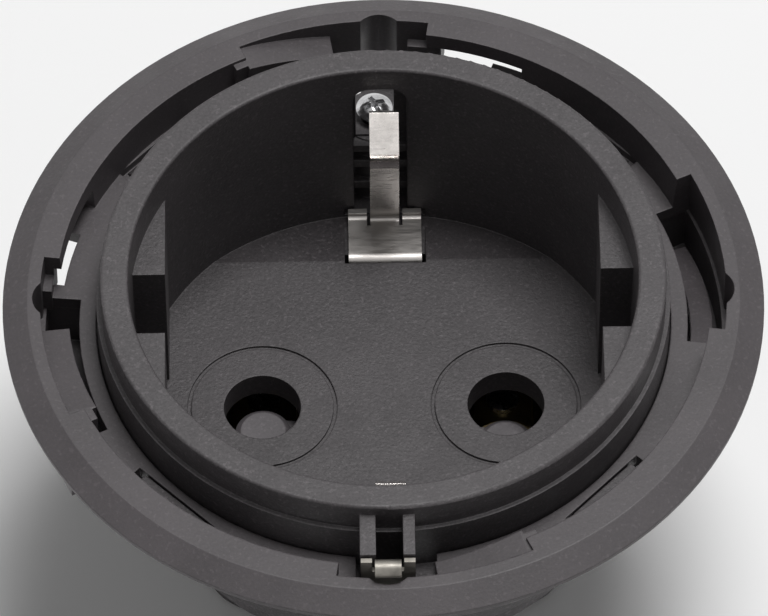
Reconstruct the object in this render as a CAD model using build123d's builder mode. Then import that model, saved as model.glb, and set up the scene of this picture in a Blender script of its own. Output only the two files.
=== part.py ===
"""Round flush-mounting power socket with side earth clips, lying on its flat back, face up.

Millimetres. +Z is the socket's axis, out of its front. +X runs along the two pin holes. The
origin is on the axis, in the plane where the flange meets its panel. Clock angles are measured
clockwise from +Y, as seen from the front.
"""
from build123d import *
from math import cos, radians, sin, sqrt
import os

os.makedirs("parts", exist_ok=True)

# Heights, from the panel plane up to the rim and down to the back
RIM_TOP = 3.9
RECESS_DEPTH = 17.5
LIP_TOP = 1.4
EDGE_HEIGHT = 0.35
RIM_LEDGE = 1.2
WEB_TOP = -2.1
WEB_THICKNESS = 1.2
SKIRT_DEPTH = 3.0
PIN_LENGTH = 19.0
PIN_END_GAP = 0.9
BACK_PLATE = 2.0

# Plug recess
RECESS_RADIUS = 19.5
RECESS_DRAFT = 0.2
FLOOR_THICKNESS = 2.4
FACET_START = 5.3
FACET_DROP = 1.1
GUIDE_DEPTH = 2.75
GUIDE_TOP = 0.4
GUIDE_NOTCH = 5.5

# Pin holes
PIN_SPACING = 19.0
PIN_HOLE_RADIUS = 3.0
HOLE_RING_RADIUS = 5.7
HOLE_RING_WIDTH = 0.3
HOLE_RING_DEPTH = 0.2

# Round walls of the cup
RIM_WALL = 2.15
RIM_STEP = 0.35
CUP_WALL = 1.4
CUP_CORNER = 0.9
SHOULDER_WIDTH = 1.2
SHOULDER_HEIGHT = 1.0

# Flange and bayonet ring
RING_CLEARANCE = 0.12
CHANNEL_WIDTH = 2.85
LIP_DRAFT = 0.25
LIP_WIDTH = 2.1
BEVEL_STEP = 0.1
FLANGE_WIDTH = 2.0
NOTCH_WALL = 0.9
NOTCH_START = -24.5
NOTCH_END = 8.5
SCALLOP_RADIUS = 1.9
SCALLOP_SETBACK = 0.15
WINDOW_END = 26.5
WINDOW_PATCH_START = 20.0
WINDOW_PATCH_WALL = 1.0
BRIDGE_START = 5.6
RAMP_HIGH = 1.1
RAMP_LOW = -0.1
RAMP_GAP = 0.75
RAMP_BLEND_ANGLE = 2.5
RAMP_BLEND_WIDTH = 0.35
RAMP_ENDS = {0: -8.4, 180: -8.4, 270: -4.4}
GAP_MIDDLE = 0.65
GAP_WIDTH = 6.1
GAP_DEPTH = 4.9
TONGUE_START = 69.0
TONGUE_END = 96.0
TONGUE_GAP = 0.25
TONGUE_MARGIN = 1.9
TONGUE_DEPTH = 3.4
TONGUE_THICKNESS = 1.1
CHEEK_WALL = 1.6
CHEEK_START = 5.0
CHEEK_END = 11.0
CHEEK_TOP = -0.9
POCKET_QUARTERS = (90, 270)
POCKET_DEPTH = 5.0
POCKET_WALL = 0.75
POCKET_SETBACK = 0.4
POCKET_LAP = 0.8
POCKET_START = -26.0
POCKET_END = 7.0
POCKET_END_WALL = 1.3

# Snap hooks through the ring's straight slots
SLOT_ANGLE = 44.3
SLOT_LENGTH = 7.9
SLOT_START = 0.75
SLOT_WIDTH = 1.85
SLOT_LEDGE = 0.6
SLOT_LEDGE_HEIGHT = 0.5
HOOK_WIDTH = 6.4
HOOK_THICKNESS = 0.9
HOOK_CLEARANCE = 0.12

# Earth bracket
STRAP_WIDTH = 5.8
STRAP_THICKNESS = 0.5
STRAP_DROP = 0.9
BRACKET_X = 0.3
FOOT_SETBACK = 0.55
FOOT_LENGTH = 4.45
SHOULDER_RISE = 0.65
BLADE_WIDTH = 2.3
KNEE_SETBACK = 4.3
KNEE_Z = -2.3
CLIP_TOP_SETBACK = 1.9
FAR_CLIP_TOP = 1.1
NEAR_CLIP_TOP = 0.75
BEND_RADIUS = 0.6
STRAP_CLEARANCE = 0.3
CLIP_SLOT_WIDTH = 4.2
CLIP_SLOT_TOP = 1.5
CLIP_SLOT_DEPTH = 1.7
SLOT_BACK_WALL = 1.2
SLOT_BACK_WIDTH = 6.6
RUNG_SETBACK = 0.8
RUNG_THICKNESS = 0.8
RUNG_HEIGHTS = (6.7, 4.7, 1.9)

# Posts at the near side and the bonding spring that stands on them
POST_LENGTH = 4.0
POST_TOP = 2.9
POST_DROP = 0.4
POST_LEFT = (-2.1, -0.9)
POST_RIGHT = (1.15, 2.05)
SPRING_WIDTH = 4.1
SPRING_THICKNESS = 0.4
SPRING_GAP = 0.1
SPRING_TOP = 2.6
CURL_TOP = 2.9
TONGUE_WIDTH = 2.0
CURL_RADIUS = 0.5
SPRING_INNER_Y = 9.6

# Screw in its boss at the far side
FRONT_SCREW_X = -0.4
FRONT_SCREW_OUT = 2.0
FRONT_HEAD_RADIUS = 1.45
FRONT_HEAD_TOP = -5.2
FRONT_HEAD_RIM = -5.8
FRONT_HEAD_GAP = 0.15
FRONT_PILOT_GAP = 0.05
FRONT_SHANK_RADIUS = 0.8
FRONT_SCREW_REACH = 7.0
BOSS_RADIUS = 2.5
BOSS_TOP = -6.8
EAR_WIDTH = 3.6
LUG_FLOOR = 1.5

# Contacts, terminals and screws
CONTACT_WALL = 0.6
PIN_RADIUS = 2.4
FOOT_THICKNESS = 0.8
FOOT_WIDTH = 4.6
SLIT_WIDTH = 0.8
SLIT_LENGTH = 5.0
SPRING_RING_DROP = 4.4
SPRING_RING_HEIGHT = 3.0
SPRING_RING_WALL = 0.4
SPRING_RING_GAP = 0.05
TERMINAL_SIZE = 5.0
TERMINAL_Y = 8.3
TERMINAL_HEIGHT = 6.0
WIRE_RADIUS = 1.4
WIRE_DEPTH = 4.1
SCREW_RADIUS = 1.25
SCREW_HEAD_RADIUS = 2.1
SCREW_HEAD_HEIGHT = 1.5
SCREW_STAND = 0.2
SCREW_SETBACK = 0.6
SLOT_CUT = 0.6
LINK_SETBACK = 0.2
LINK_WIDTH = 4.4
STRAP_RIVET_YS = (7.9, -12.0)
FOOT_RIVET_SETBACK = 1.3
RIVET_RADIUS = 0.8
RIVET_HEAD_RADIUS = 1.6
RIVET_HEAD_HEIGHT = 0.5
RIVET_DEPTH = 1.3

# Rear housing
PLATE_THICKNESS = 2.0
PLATE_BEVEL = 1.0
BOX_WALL = 1.3
BOX_CLEARANCE = 0.25
BOX_FAR_CLEARANCE = 0.5
BOX_CORNER = 2.5
HOUSING_SETBACK = 2.5
HOUSING_WALL = 1.8
DIVIDER_X = 4.6
DIVIDER_THICKNESS = 1.2
HOUSING_SCREW_X = 8.6
HOUSING_SCREW_Y = -10.6
HOUSING_BOSS_RADIUS = 2.6
HEAD_RECESS = 0.6
SCREW_GRIP = 1.2

# Shutter behind the pin holes: two pads on a beam that turns about a post
PAD_RADIUS = 2.2
PAD_BEVEL = 0.45
PAD_DEPTHS = (3.2, 5.0)
PAD_RISES = (0.8, 0.6)
BEAM_OVERHANG = 0.8
BEAM_WIDTH = 3.2
BEAM_THICKNESS = 0.8
BEAM_CLEARANCE = 0.2
HUB_RADIUS = 2.9
HUB_DROP = 1.6
HUB_HEIGHT = 2.8
HUB_ROOF = 0.7
POST_RADIUS = 1.5
POST_CLEARANCE = 0.1
POST_BASE_RADIUS = 2.2
COIL_RADIUS = 2.2
COIL_WIDTH = 0.5
COIL_THICKNESS = 0.4
COIL_PITCH = 1.3
COIL_HEIGHT = 3.7
COIL_GAP = 0.3

# Heights worked out from the sizes above
FLOOR = RIM_TOP - RECESS_DEPTH
FLOOR_BOTTOM = FLOOR - FLOOR_THICKNESS
PARTING = FLOOR_BOTTOM - SKIRT_DEPTH
BACK_INSIDE = FLOOR - PIN_LENGTH - PIN_END_GAP
BACK = BACK_INSIDE - BACK_PLATE
CUP_BOTTOM = FLOOR - CUP_CORNER
WEB_BOTTOM = WEB_TOP - WEB_THICKNESS
POCKET_BOTTOM = WEB_BOTTOM - POCKET_DEPTH
STRAP_LEVEL = FLOOR_BOTTOM - STRAP_DROP
SPRING_LEVEL = STRAP_LEVEL - STRAP_THICKNESS / 2 - SPRING_THICKNESS / 2
LINK_LEVEL = STRAP_LEVEL - STRAP_THICKNESS
POST_BOTTOM = FLOOR_BOTTOM - POST_DROP
RUNG_TOPS = [FLOOR + height for height in RUNG_HEIGHTS]
PAD_TOPS = [FLOOR - depth for depth in PAD_DEPTHS]
BEAM_TOPS = [pad_top - rise for pad_top, rise in zip(PAD_TOPS, PAD_RISES)]
CONTACT_TOP = min(BEAM_TOPS) - BEAM_THICKNESS - BEAM_CLEARANCE
SPRING_RING_Z = CONTACT_TOP - SPRING_RING_DROP
HUB_TOP = FLOOR_BOTTOM - HUB_DROP
HUB_BOTTOM = HUB_TOP - HUB_HEIGHT
POST_SHAFT_TOP = HUB_TOP - HUB_ROOF
COIL_Z = HUB_BOTTOM - COIL_GAP - COIL_HEIGHT
POST_BASE_TOP = COIL_Z - COIL_GAP
TERMINAL_TOP = BACK_INSIDE + TERMINAL_HEIGHT
SCREW_LEVEL = BACK_INSIDE + TERMINAL_HEIGHT / 2
PLATE_BOTTOM = PARTING - PLATE_THICKNESS
HEAD_SEAT = PLATE_BOTTOM + HEAD_RECESS
SCREW_HOLE_TOP = FLOOR_BOTTOM + SCREW_GRIP
FRONT_SCREW_END = PARTING - FRONT_SCREW_REACH
LUG_BOTTOM = FRONT_SCREW_END - LUG_FLOOR

# Radii worked out from the sizes above
RECESS_FLOOR_RADIUS = RECESS_RADIUS - RECESS_DRAFT
RIM_RADIUS = RECESS_RADIUS + RIM_WALL
BODY_RADIUS = RIM_RADIUS + RIM_STEP
CUP_RADIUS = RECESS_RADIUS + CUP_WALL
HOUSING_RADIUS = CUP_RADIUS - HOUSING_SETBACK
HOLLOW_RADIUS = HOUSING_RADIUS - HOUSING_WALL
SHOULDER_RADIUS = BODY_RADIUS + SHOULDER_WIDTH
STRIP_RADIUS = SHOULDER_RADIUS + 0.2
WEB_RADIUS = BODY_RADIUS + CHANNEL_WIDTH
LIP_RADIUS = WEB_RADIUS + LIP_DRAFT
SKIRT_RADIUS = LIP_RADIUS + LIP_WIDTH
BEVEL_RADIUS = SKIRT_RADIUS + BEVEL_STEP
FLANGE_RADIUS = SKIRT_RADIUS + FLANGE_WIDTH
NOTCH_RADIUS = SKIRT_RADIUS - NOTCH_WALL
SCALLOP_CENTRE = WEB_RADIUS + SCALLOP_SETBACK
WINDOW_PATCH_RADIUS = SKIRT_RADIUS - WINDOW_PATCH_WALL
RAMP_BLEND_RADIUS = WEB_RADIUS - RAMP_BLEND_WIDTH
TONGUE_INNER = STRIP_RADIUS + TONGUE_GAP
TONGUE_OUTER = SKIRT_RADIUS - TONGUE_MARGIN
CHEEK_RADIUS = SKIRT_RADIUS - CHEEK_WALL
POCKET_INNER = SHOULDER_RADIUS - POCKET_LAP
POCKET_OUTER = SKIRT_RADIUS - POCKET_SETBACK
SLOT_INNER = BODY_RADIUS + SLOT_START
SLOT_OUTER = SLOT_INNER + SLOT_WIDTH
CONTACT_RADIUS = PIN_RADIUS + CONTACT_WALL
SPRING_RING_RADIUS = CONTACT_RADIUS + SPRING_RING_GAP + SPRING_RING_WALL
BOX_RADIUS = SPRING_RING_RADIUS + BOX_CLEARANCE + BOX_WALL

# Places worked out from the sizes above
QUARTERS = (0, 90, 180, 270)
PIN_X = PIN_SPACING / 2
FACET_Y = RECESS_FLOOR_RADIUS - FACET_START
GUIDE_X = RECESS_RADIUS - GUIDE_DEPTH
FOOT_OUTER_Y = RECESS_FLOOR_RADIUS - FOOT_SETBACK
FOOT_INNER_Y = FOOT_OUTER_Y - FOOT_LENGTH
KNEE_Y = RECESS_RADIUS - KNEE_SETBACK
CLIP_TOP_Y = RECESS_RADIUS - CLIP_TOP_SETBACK
CLIP_SLOT_Y = RECESS_RADIUS + CLIP_SLOT_DEPTH
SLOT_BACK = CLIP_SLOT_Y + SLOT_BACK_WALL
RUNG_Y = RECESS_RADIUS + RUNG_SETBACK
POST_Y = CLIP_SLOT_Y + POST_LENGTH
SPRING_Y = POST_Y + SPRING_GAP + SPRING_THICKNESS / 2
GAP_Y = SHOULDER_RADIUS + 0.4
FRONT_SCREW_Y = CLIP_SLOT_Y + FRONT_SCREW_OUT
TERMINAL_XS = (-PIN_X, 0, PIN_X)
TERMINAL_FAR = TERMINAL_Y + TERMINAL_SIZE / 2
SCREW_Y = TERMINAL_Y - SCREW_SETBACK
RIVET_Y = TERMINAL_FAR - FOOT_RIVET_SETBACK
LINK_Y = TERMINAL_Y - TERMINAL_SIZE / 2 - LINK_SETBACK
BOX_FAR_Y = TERMINAL_FAR + BOX_FAR_CLEARANCE + BOX_WALL
BEAM_HALF_LENGTH = PIN_X + BEAM_OVERHANG
HOUSING_SCREW_POINTS = ((HOUSING_SCREW_X, HOUSING_SCREW_Y), (-HOUSING_SCREW_X, HOUSING_SCREW_Y))


def polar(radius, clock):
    """Point at a radius and a clock angle."""
    return (radius * sin(radians(clock)), radius * cos(radians(clock)))


def sector(inner, outer, start, end):
    """Piece of a flat ring between two clock angles, in the sketch that is open."""
    with BuildLine() as outline:
        outside = CenterArc((0, 0), outer, 90 - end, end - start)
        inside = CenterArc((0, 0), inner, 90 - end, end - start)
        Line(outside @ 0, inside @ 0)
        Line(outside @ 1, inside @ 1)
    make_face(outline.edges())


def quarter_sectors(inner, outer, start, end):
    """The same piece of a ring in each of the four quarters."""
    for quarter in QUARTERS:
        sector(inner, outer, quarter + start, quarter + end)


def slope_plane(radius, start, start_height, end, end_height):
    """Plane that rises along the ring, level across it, from one clock angle to another."""
    middle = (start + end) / 2
    x, y = polar(radius, middle)
    run = 2 * radius * sin(radians((end - start) / 2))
    across = Vector(sin(radians(middle)), cos(radians(middle)), 0)
    along = Vector(cos(radians(middle)) * run, -sin(radians(middle)) * run, end_height - start_height)
    origin = Vector(x, y, (start_height + end_height) / 2)
    normal = along.cross(across)
    if normal.Z < 0:
        normal = normal * -1
    return Plane(origin=origin, x_dir=across, z_dir=normal)


def box_between(low, high, mode=Mode.ADD):
    """Box from its lowest corner to its highest corner."""
    size = [b - a for a, b in zip(low, high)]
    middle = [(a + b) / 2 for a, b in zip(low, high)]
    with Locations(tuple(middle)):
        Box(*size, mode=mode)


def box_outline(inset):
    """Outline of the rear box, round about both contacts, in the sketch that is open."""
    radius = BOX_RADIUS - inset
    far = BOX_FAR_Y - inset
    with Locations((PIN_X, 0), (-PIN_X, 0)):
        Circle(radius)
    with Locations((0, (far - radius) / 2)):
        Rectangle(2 * PIN_X, far + radius)
    with Locations((0, far / 2)):
        Rectangle(2 * (PIN_X + radius), far)


def finish(sub_part, label):
    """Labels a finished piece and writes its file."""
    sub_part.part.label = label
    export_step(sub_part.part, f"parts/{label}.step")


# Socket body: cup with its floor, guides, clip recesses, outer posts and boss
cup_profile = [
    (0, FLOOR_BOTTOM),
    (CUP_RADIUS - CUP_BOTTOM + FLOOR_BOTTOM, FLOOR_BOTTOM),
    (CUP_RADIUS, CUP_BOTTOM),
    (CUP_RADIUS, WEB_BOTTOM - SHOULDER_HEIGHT),
    (SHOULDER_RADIUS, WEB_BOTTOM - SHOULDER_HEIGHT),
    (SHOULDER_RADIUS, WEB_BOTTOM),
    (BODY_RADIUS, WEB_BOTTOM),
    (BODY_RADIUS, RIM_LEDGE),
    (RIM_RADIUS, RIM_LEDGE),
    (RIM_RADIUS, RIM_TOP),
    (RECESS_RADIUS, RIM_TOP),
    (RECESS_FLOOR_RADIUS, FLOOR),
    (0, FLOOR),
]
slot_middle = (SLOT_INNER + SLOT_OUTER) / 2
hook_inner = SLOT_INNER + HOOK_CLEARANCE
hook_nose = SLOT_OUTER - HOOK_CLEARANCE
hook_ledge = WEB_BOTTOM + SLOT_LEDGE_HEIGHT

with BuildPart() as floor_slopes:
    with BuildSketch(Plane.YZ):
        for side in (1, -1):
            with BuildLine():
                Polyline(
                    (side * FACET_Y, FLOOR),
                    (side * RECESS_FLOOR_RADIUS, FLOOR),
                    (side * RECESS_FLOOR_RADIUS, FLOOR - FACET_DROP),
                    close=True,
                )
            make_face()
    extrude(amount=RECESS_RADIUS, both=True)
    with BuildSketch(Plane.XY.offset(FLOOR)):
        Circle(RECESS_FLOOR_RADIUS)
    extrude(amount=-FLOOR_THICKNESS, mode=Mode.INTERSECT)

with BuildPart() as socket_body:
    with BuildSketch(Plane.XZ):
        with BuildLine():
            Polyline(*cup_profile, close=True)
        make_face()
    revolve(axis=Axis.Z)
    rim_edges = socket_body.edges().group_by(Axis.Z)[-1]
    fillet(rim_edges, radius=0.25)
    # Thicker wall behind each clip's slot
    with BuildSketch(Plane.XY.offset(FLOOR_BOTTOM)):
        Rectangle(SLOT_BACK_WIDTH, 2 * SLOT_BACK)
        Circle(RECESS_RADIUS + 0.8, mode=Mode.SUBTRACT)
    extrude(amount=WEB_BOTTOM - 0.1 - FLOOR_BOTTOM)
    # Floor that slopes away beyond the facet lines
    add(floor_slopes.part, mode=Mode.SUBTRACT)
    # Guides at both sides, each with a notch for the plug's rib
    with BuildSketch(Plane.XY.offset(FLOOR)):
        Circle(RECESS_RADIUS + 0.4)
        Rectangle(2 * GUIDE_X, 2 * BODY_RADIUS, mode=Mode.SUBTRACT)
        Rectangle(2 * BODY_RADIUS, GUIDE_NOTCH, mode=Mode.SUBTRACT)
    extrude(amount=GUIDE_TOP - FLOOR)
    # Pin holes with a ring line round each
    with BuildSketch(Plane.XY.offset(FLOOR)):
        with Locations((PIN_X, 0), (-PIN_X, 0)):
            Circle(PIN_HOLE_RADIUS)
    extrude(amount=-FLOOR_THICKNESS, mode=Mode.SUBTRACT)
    with BuildSketch(Plane.XY.offset(FLOOR)):
        with Locations((PIN_X, 0), (-PIN_X, 0)):
            Circle(HOLE_RING_RADIUS + HOLE_RING_WIDTH / 2)
            Circle(HOLE_RING_RADIUS - HOLE_RING_WIDTH / 2, mode=Mode.SUBTRACT)
    extrude(amount=-HOLE_RING_DEPTH, mode=Mode.SUBTRACT)
    # Recess and slit for each earth clip's foot, and the slot behind its blade
    foot_half = STRAP_WIDTH / 2 + STRAP_CLEARANCE
    foot_bed = FLOOR - STRAP_THICKNESS - STRAP_CLEARANCE
    slit_inner = FOOT_INNER_Y - STRAP_THICKNESS / 2 - STRAP_CLEARANCE
    slit_outer = FOOT_INNER_Y + STRAP_THICKNESS / 2 + BEND_RADIUS
    with BuildSketch(Plane.XY.offset(FLOOR)):
        for side in (1, -1):
            with Locations((BRACKET_X, side * (slit_inner + RECESS_FLOOR_RADIUS) / 2)):
                Rectangle(2 * foot_half, RECESS_FLOOR_RADIUS - slit_inner)
    extrude(amount=foot_bed - FLOOR, mode=Mode.SUBTRACT)
    with BuildSketch(Plane.XY.offset(FLOOR)):
        for side in (1, -1):
            with Locations((BRACKET_X, side * (slit_inner + slit_outer) / 2)):
                Rectangle(2 * foot_half, slit_outer - slit_inner)
    extrude(amount=-FLOOR_THICKNESS, mode=Mode.SUBTRACT)
    with BuildSketch(Plane.XZ):
        with Locations((0, (CLIP_SLOT_TOP + FLOOR) / 2)):
            RectangleRounded(CLIP_SLOT_WIDTH, CLIP_SLOT_TOP - FLOOR, 1.3)
    extrude(amount=CLIP_SLOT_Y, both=True, mode=Mode.SUBTRACT)
    with BuildSketch(Plane.XY.offset(foot_bed)):
        for side in (1, -1):
            with Locations((0, side * (slit_outer + CLIP_SLOT_Y) / 2)):
                Rectangle(CLIP_SLOT_WIDTH, CLIP_SLOT_Y - slit_outer)
    extrude(amount=FLOOR + 3 - foot_bed, mode=Mode.SUBTRACT)
    # Rungs across the bottom of each slot
    with BuildSketch(Plane.YZ):
        for side in (1, -1):
            for top in RUNG_TOPS:
                with Locations((side * (RUNG_Y + CLIP_SLOT_Y + 0.2) / 2, top - RUNG_THICKNESS / 2)):
                    Rectangle(CLIP_SLOT_Y + 0.2 - RUNG_Y, RUNG_THICKNESS)
    extrude(amount=CLIP_SLOT_WIDTH / 2 + 0.2, both=True)
    # Posts that the bonding spring stands against
    for low_x, high_x in (POST_LEFT, POST_RIGHT):
        box_between((low_x, -POST_Y, POST_BOTTOM), (high_x, -CLIP_SLOT_Y - 0.3, POST_TOP))
    # Boss for the far screw, open towards the slot in the cup's wall
    with BuildSketch(Plane.XY.offset(PARTING)):
        with Locations((FRONT_SCREW_X, FRONT_SCREW_Y)):
            Circle(BOSS_RADIUS)
        Circle(RECESS_RADIUS + 1.0, mode=Mode.SUBTRACT)
    extrude(amount=BOSS_TOP - PARTING)
    seat_depth = FRONT_HEAD_RADIUS - FRONT_SHANK_RADIUS
    with BuildSketch(Plane.XZ.offset(-FRONT_SCREW_Y)):
        with BuildLine():
            Polyline(
                (FRONT_SCREW_X, PARTING),
                (FRONT_SCREW_X + FRONT_SHANK_RADIUS + FRONT_HEAD_GAP, PARTING),
                (FRONT_SCREW_X + FRONT_SHANK_RADIUS + FRONT_HEAD_GAP, FRONT_HEAD_RIM - 2 * seat_depth),
                (FRONT_SCREW_X + FRONT_HEAD_RADIUS + FRONT_HEAD_GAP, FRONT_HEAD_RIM),
                (FRONT_SCREW_X, FRONT_HEAD_RIM),
                close=True,
            )
        make_face()
    revolve(axis=Axis((FRONT_SCREW_X, FRONT_SCREW_Y, 0), (0, 0, 1)), mode=Mode.SUBTRACT)
    box_between(
        (FRONT_SCREW_X - FRONT_HEAD_RADIUS - 0.05, RUNG_Y, RUNG_TOPS[0] + 0.3),
        (FRONT_SCREW_X + FRONT_HEAD_RADIUS + 0.05, FRONT_SCREW_Y, RIM_LEDGE - 0.2),
        mode=Mode.SUBTRACT,
    )
    # Bosses under the floor for the rear screws
    with BuildSketch(Plane.XY.offset(FLOOR_BOTTOM)):
        with Locations(*HOUSING_SCREW_POINTS):
            Circle(HOUSING_BOSS_RADIUS)
    extrude(amount=PARTING - FLOOR_BOTTOM)
    with BuildSketch(Plane.XY.offset(PARTING)):
        with Locations(*HOUSING_SCREW_POINTS):
            Circle(SCREW_RADIUS + 0.05)
    extrude(amount=SCREW_HOLE_TOP - PARTING, mode=Mode.SUBTRACT)
    # Snap hooks that hold the ring down on the shoulder
    for quarter in QUARTERS:
        hook_plane = Plane(
            origin=(0, 0, 0),
            x_dir=(sin(radians(quarter + SLOT_ANGLE)), cos(radians(quarter + SLOT_ANGLE)), 0),
            z_dir=(cos(radians(quarter + SLOT_ANGLE)), -sin(radians(quarter + SLOT_ANGLE)), 0),
        )
        with BuildSketch(hook_plane):
            with BuildLine():
                Polyline(
                    (BODY_RADIUS - 1.0, WEB_BOTTOM - SHOULDER_HEIGHT),
                    (hook_inner + HOOK_THICKNESS, WEB_BOTTOM - SHOULDER_HEIGHT),
                    (hook_inner + HOOK_THICKNESS, hook_ledge + 0.02),
                    (hook_nose, hook_ledge + 0.02),
                    (hook_inner + HOOK_THICKNESS, WEB_TOP - 0.15),
                    (hook_inner, WEB_TOP - 0.15),
                    (hook_inner, WEB_BOTTOM - 0.3),
                    (BODY_RADIUS - 1.0, WEB_BOTTOM - 0.3),
                    close=True,
                )
            make_face()
        extrude(amount=HOOK_WIDTH / 2, both=True)
finish(socket_body, "socket_body")

# Bayonet ring: flange, lip, skirt and web in one moulding
ring_profile = [
    (BODY_RADIUS + RING_CLEARANCE, WEB_BOTTOM),
    (SKIRT_RADIUS, WEB_BOTTOM),
    (SKIRT_RADIUS, 0),
    (FLANGE_RADIUS, 0),
    (FLANGE_RADIUS, EDGE_HEIGHT),
    (BEVEL_RADIUS, LIP_TOP),
    (LIP_RADIUS, LIP_TOP),
    (WEB_RADIUS, WEB_TOP),
    (BODY_RADIUS + RING_CLEARANCE, WEB_TOP),
]
ramp_inner = STRIP_RADIUS + RAMP_GAP

entry_ramps = []
for quarter, ramp_end in RAMP_ENDS.items():
    start = quarter + NOTCH_START
    end = quarter + ramp_end
    with BuildPart() as entry_ramp:
        with BuildSketch(Plane.XY.offset(WEB_BOTTOM)):
            sector(ramp_inner, NOTCH_RADIUS + 0.1, start - 0.2, end)
            sector(RAMP_BLEND_RADIUS, NOTCH_RADIUS + 0.1, start - RAMP_BLEND_ANGLE, start)
        extrude(amount=RAMP_HIGH - WEB_BOTTOM)
        split(
            bisect_by=slope_plane(slot_middle, start, RAMP_HIGH, end, RAMP_LOW),
            keep=Keep.BOTTOM,
        )
    entry_ramps.append(entry_ramp.part)

with BuildPart() as spring_ramp:
    with BuildSketch(Plane.XY.offset(WEB_BOTTOM - TONGUE_DEPTH - 1)):
        sector(TONGUE_INNER, TONGUE_OUTER, TONGUE_START, TONGUE_END + 0.5)
    extrude(amount=TONGUE_DEPTH + 1 + WEB_THICKNESS)
    ramp_top = slope_plane(slot_middle, TONGUE_START, WEB_TOP - TONGUE_DEPTH, TONGUE_END, WEB_TOP - 0.12)
    split(bisect_by=ramp_top, keep=Keep.BOTTOM)
    split(bisect_by=ramp_top.offset(-TONGUE_THICKNESS), keep=Keep.TOP)

with BuildPart() as bayonet_ring:
    with BuildSketch(Plane.XZ):
        with BuildLine():
            Polyline(*ring_profile, close=True)
        make_face()
    revolve(axis=Axis.Z)
    # Entry notches in the lip
    with BuildSketch(Plane.XY.offset(WEB_TOP)):
        quarter_sectors(WEB_RADIUS - 0.5, NOTCH_RADIUS, NOTCH_START, NOTCH_END)
    extrude(amount=LIP_TOP - WEB_TOP, mode=Mode.SUBTRACT)
    # Windows under the lip, where a cover's claws turn in
    with BuildSketch(Plane.XY.offset(WEB_TOP)):
        quarter_sectors(WEB_RADIUS - 0.5, SKIRT_RADIUS + 1, NOTCH_END, WINDOW_END)
    extrude(amount=-WEB_TOP, mode=Mode.SUBTRACT)
    with BuildSketch(Plane.XY.offset(WEB_BOTTOM)):
        quarter_sectors(WEB_RADIUS, SKIRT_RADIUS + 1, NOTCH_END, WINDOW_PATCH_START)
        quarter_sectors(WINDOW_PATCH_RADIUS, SKIRT_RADIUS + 1, WINDOW_PATCH_START, WINDOW_END)
    extrude(amount=WEB_THICKNESS, mode=Mode.SUBTRACT)
    # Pockets through the web, and the gap along each ramp
    with BuildSketch(Plane.XY.offset(WEB_BOTTOM)):
        for quarter, ramp_end in RAMP_ENDS.items():
            sector(STRIP_RADIUS, NOTCH_RADIUS, quarter + ramp_end, quarter + BRIDGE_START)
            sector(STRIP_RADIUS, ramp_inner, quarter + NOTCH_START - 0.6, quarter + ramp_end)
        sector(STRIP_RADIUS, NOTCH_RADIUS, 90 + NOTCH_START, TONGUE_END)
        with Locations((GAP_MIDDLE, -GAP_Y), (-GAP_MIDDLE, GAP_Y)):
            Rectangle(GAP_WIDTH, GAP_DEPTH)
    extrude(amount=WEB_THICKNESS, mode=Mode.SUBTRACT)
    # Scallop in the middle of each notch
    with BuildSketch(Plane.XY.offset(WEB_BOTTOM)):
        with Locations(*[polar(SCALLOP_CENTRE, quarter) for quarter in QUARTERS]):
            Circle(SCALLOP_RADIUS)
        Circle(SCALLOP_CENTRE, mode=Mode.SUBTRACT)
    extrude(amount=LIP_TOP - WEB_BOTTOM, mode=Mode.SUBTRACT)
    # Straight slots for the body's snap hooks, with a ledge under each hook's nose
    for quarter in QUARTERS:
        direction = quarter + SLOT_ANGLE
        with BuildSketch(Plane.XY.offset(WEB_BOTTOM).rotated((0, 0, -direction))):
            with Locations((0, (SLOT_INNER + SLOT_OUTER - SLOT_LEDGE) / 2)):
                Rectangle(SLOT_LENGTH, SLOT_OUTER - SLOT_LEDGE - SLOT_INNER)
        extrude(amount=WEB_THICKNESS, mode=Mode.SUBTRACT)
        with BuildSketch(Plane.XY.offset(hook_ledge).rotated((0, 0, -direction))):
            with Locations((0, slot_middle)):
                Rectangle(SLOT_LENGTH, SLOT_OUTER - SLOT_INNER)
        extrude(amount=WEB_TOP - hook_ledge, mode=Mode.SUBTRACT)
    # Cheek that narrows each window beside its notch
    with BuildSketch(Plane.XY.offset(WEB_BOTTOM)):
        quarter_sectors(CHEEK_RADIUS, SKIRT_RADIUS, CHEEK_START, NOTCH_END)
    extrude(amount=CHEEK_TOP - WEB_BOTTOM)
    with BuildSketch(Plane.XY.offset(WEB_BOTTOM)):
        quarter_sectors(CHEEK_RADIUS, SKIRT_RADIUS, NOTCH_END, CHEEK_END)
    extrude(amount=-WEB_BOTTOM)
    # Closed pockets under the left and right notches
    with BuildSketch(Plane.XY.offset(POCKET_BOTTOM)):
        for quarter in POCKET_QUARTERS:
            sector(POCKET_INNER, POCKET_OUTER, quarter + POCKET_START, quarter + POCKET_END)
    extrude(amount=POCKET_WALL)
    with BuildSketch(Plane.XY.offset(POCKET_BOTTOM)):
        for quarter in POCKET_QUARTERS:
            start = quarter + POCKET_START
            end = quarter + POCKET_END
            sector(POCKET_OUTER - POCKET_WALL, POCKET_OUTER, start, end)
            sector(STRIP_RADIUS, POCKET_OUTER, start, start + POCKET_END_WALL)
            sector(STRIP_RADIUS, POCKET_OUTER, end - POCKET_END_WALL, end)
    extrude(amount=WEB_BOTTOM + 0.1 - POCKET_BOTTOM)
    for ramp in entry_ramps:
        add(ramp)
    add(spring_ramp.part)
finish(bayonet_ring, "bayonet_ring")

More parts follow.
